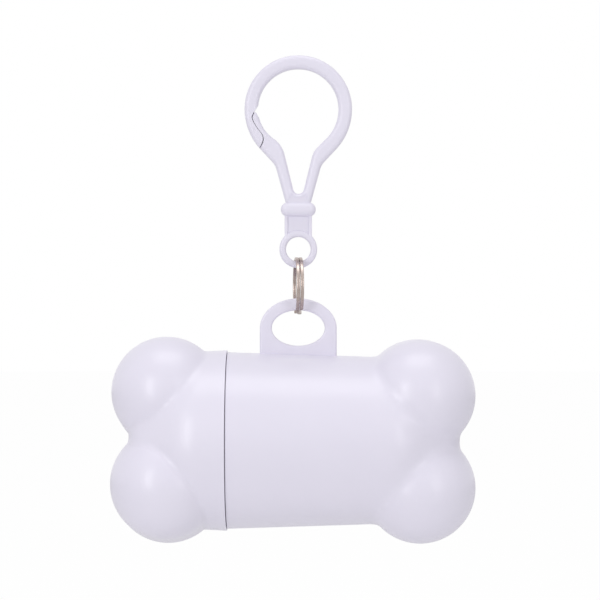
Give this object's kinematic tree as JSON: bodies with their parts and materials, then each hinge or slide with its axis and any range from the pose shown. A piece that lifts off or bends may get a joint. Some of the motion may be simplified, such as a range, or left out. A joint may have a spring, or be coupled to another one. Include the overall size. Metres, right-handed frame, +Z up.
{
  "type": "dog poop bag dispenser",
  "caption": "Bone-shaped plastic case that holds a roll of waste bags, with a push-on end cap, a slot in the back and a snap hook on a split ring.",
  "frame": {"origin": "centre of the round loop of the snap hook, in the middle of its thickness", "axes": "+Z up, from the bone to the hook; +X along the bone from the end cap to the barrel's knobs; -Y is the front, +Y the back with the slot"},
  "size_m": [0.0846, 0.0427, 0.1145],
  "materials": {
    "shell_plastic": "satin, moulded",
    "plated_wire": "nickel plated",
    "core_card": "matt",
    "bag_film": "soft film"
  },
  "bodies": {
    "hook": {"snap_hook": "shell_plastic"},
    "gate": {"hook_gate": "shell_plastic"},
    "ring": {"split_ring": "plated_wire"},
    "barrel": {"barrel": "shell_plastic"},
    "cap": {"end_cap": "shell_plastic"},
    "roll": {"roll_core": "core_card", "bag_roll": "bag_film"}
  },
  "joints": [
    {"name": "gate_flex", "type": "hinge", "parent": "hook", "child": "gate", "pos_m": [-0.00285, 0, -0.0175], "axis": [0, 1, 0], "range_deg": [0, 20], "stiffness_Nm_per_rad": 0.15},
    {"name": "ring_swing", "type": "hinge", "parent": "hook", "child": "ring", "pos_m": [0, 0, -0.0328], "axis": [0, 1, 0], "range_deg": [-60, 60]},
    {"name": "barrel_swing", "type": "hinge", "parent": "ring", "child": "barrel", "pos_m": [0, 0, -0.04137], "axis": [0.9972, 0.075, 0], "range_deg": [-90, 90]},
    {"name": "cap_pull", "type": "slide", "parent": "barrel", "child": "cap", "axis": [-1, 0, 0], "range_m": [0, 0.06]},
    {"name": "roll_spin", "type": "hinge", "parent": "barrel", "child": "roll", "pos_m": [0.0013, 0, -0.07829], "axis": [1, 0, 0], "continuous": true}
  ]
}
